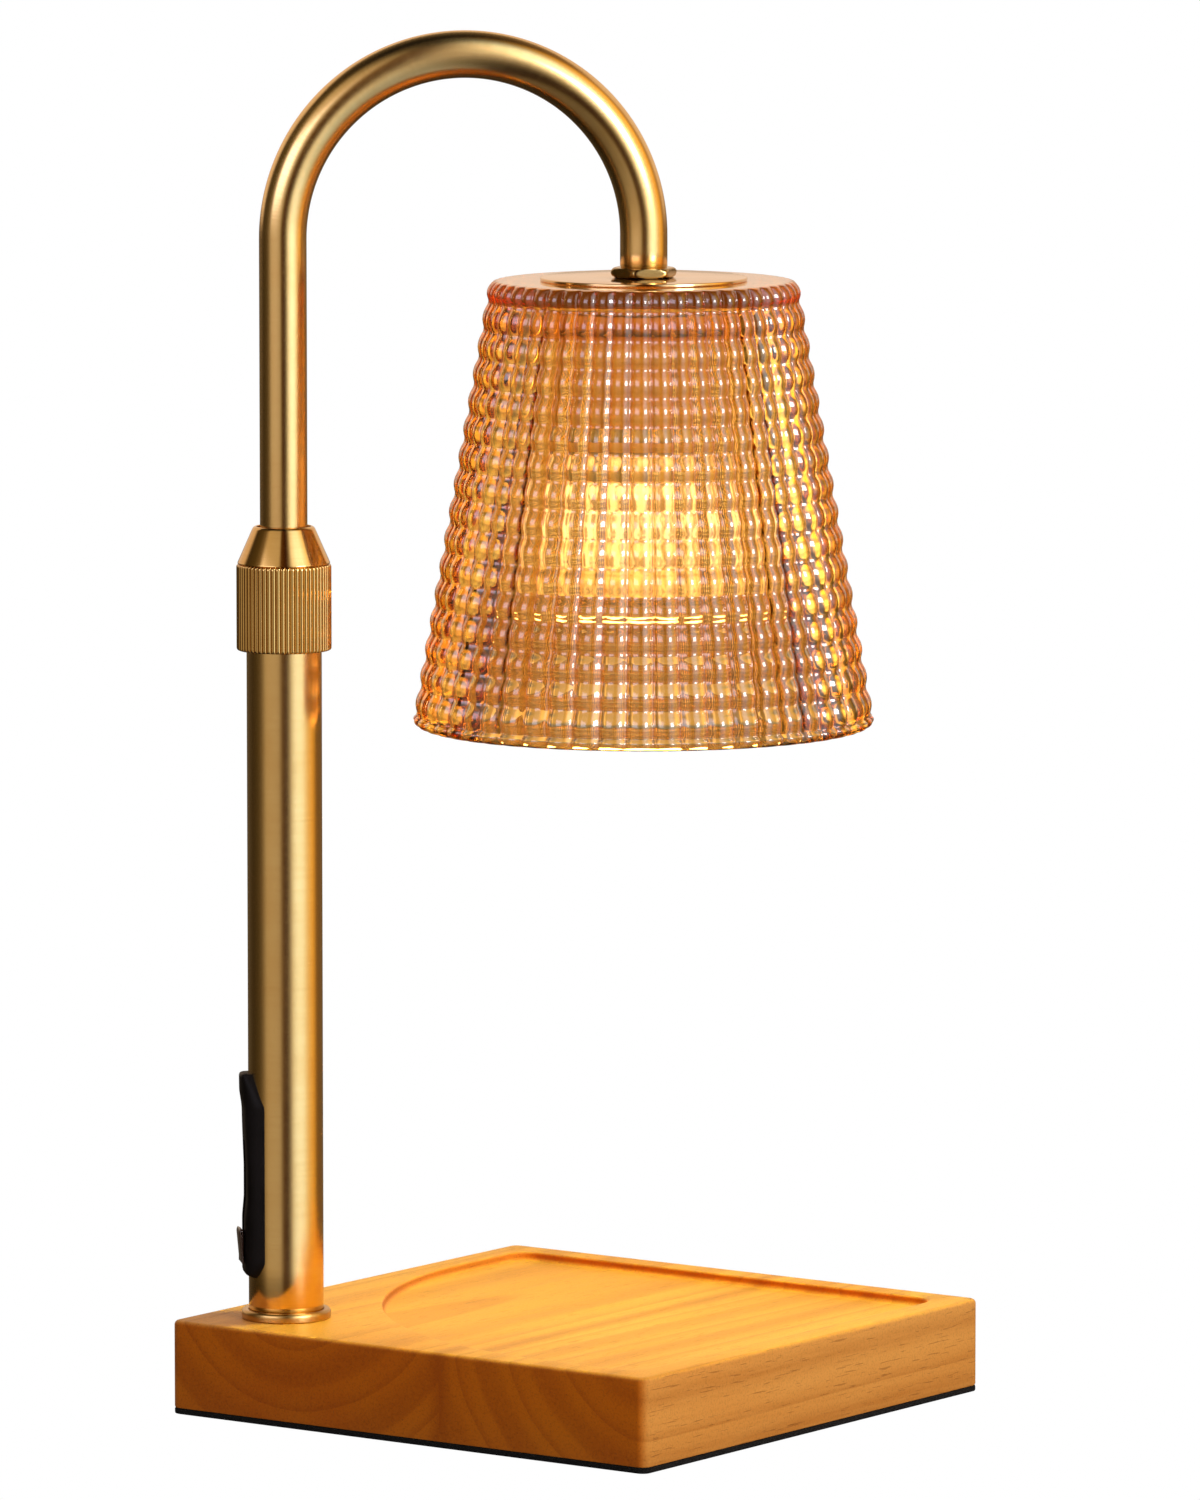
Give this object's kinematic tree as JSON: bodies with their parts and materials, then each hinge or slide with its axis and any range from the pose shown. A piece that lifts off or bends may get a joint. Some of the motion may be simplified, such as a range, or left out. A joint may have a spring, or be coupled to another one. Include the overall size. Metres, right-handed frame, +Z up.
{
  "type": "candle warmer lamp",
  "caption": "Table lamp that warms a candle from above: beaded glass bell on a hooked tube that slides and turns in a column on a square wooden base with a shallow tray.",
  "frame": {"origin": "centre of the underside, on the table", "axes": "+Z up; X and Y along the base's sides; the column stands near the -X -Y corner and the arm reaches along the +X +Y diagonal"},
  "size_m": [0.148, 0.148, 0.3505],
  "materials": {
    "wood": "oiled, satin",
    "pad_rubber": "matt",
    "brass_satin": "brushed, lacquered",
    "brass_bright": "polished",
    "brass_dark": "antique, polished",
    "steel": "zinc plated",
    "nylon": "matt",
    "black_plastic": "matt",
    "bronze_plastic": "satin",
    "circuit_board": "solder mask",
    "silicone": "matt",
    "lead_sheath": "silicone sheath",
    "amber_glass": "pressed, lustred",
    "ceramic": "unglazed steatite",
    "reflector": "aluminised glass",
    "bulb_glass": "clear",
    "lit_glass": "clear quartz"
  },
  "bodies": {
    "stand": {"base_block": "wood", "base_pad": "pad_rubber", "cord_grommet": "pad_rubber", "column_flange": "brass_satin", "foot_plug": "steel", "foot_nipple": "steel", "foot_washer": "steel", "foot_nut": "steel", "column_tube": "brass_satin", "column_collar": "brass_bright", "split_collet": "nylon", "switch_housing": "black_plastic", "dimmer_board": "circuit_board", "slide_resistor": "steel", "board_screws": "steel"},
    "dimmer_slider": {"dimmer_tab": "bronze_plastic"},
    "locking_nut": {"lock_nut": "brass_bright"},
    "arm_slide": {"guide_bush": "nylon"},
    "arm": {"arm_tube": "brass_satin", "arm_stop_ring": "steel", "retaining_clip": "steel", "arm_lead": "lead_sheath", "collar_nut": "brass_dark", "shade_plate": "brass_bright", "glass_shade": "amber_glass", "shade_gasket": "silicone", "pressure_plate": "steel", "shade_nipple": "steel", "m10_nuts": "steel", "holder_cup": "brass_satin", "holder_bracket": "steel", "bracket_screws": "steel", "lampholder": "ceramic", "lamp_contacts": "brass_bright"},
    "bulb": {"bulb_reflector": "reflector", "bulb_lens": "bulb_glass", "bulb_cap": "ceramic", "bulb_pins": "steel", "bulb_capsule": "lit_glass"}
  },
  "joints": [
    {"name": "arm_height", "type": "slide", "parent": "stand", "child": "arm_slide", "axis": [0, 0, 1], "range_m": [-0.065, 0.015]},
    {"name": "arm_swivel", "type": "hinge", "parent": "arm_slide", "child": "arm", "pos_m": [-0.053, -0.053, 0.165], "axis": [0, 0, 1], "range_deg": [-170, 170]},
    {"name": "bulb_twist", "type": "hinge", "parent": "arm", "child": "bulb", "pos_m": [0.01205, 0.01205, 0.2526], "axis": [0, 0, 1], "range_deg": [-30, 0]},
    {"name": "lock_nut_turn", "type": "hinge", "parent": "stand", "child": "locking_nut", "pos_m": [-0.053, -0.053, 0.2], "axis": [0, 0, 1], "range_deg": [0, 180]},
    {"name": "dimmer_slide", "type": "slide", "parent": "stand", "child": "dimmer_slider", "axis": [0, 0, 1], "range_m": [0, 0.024]}
  ]
}
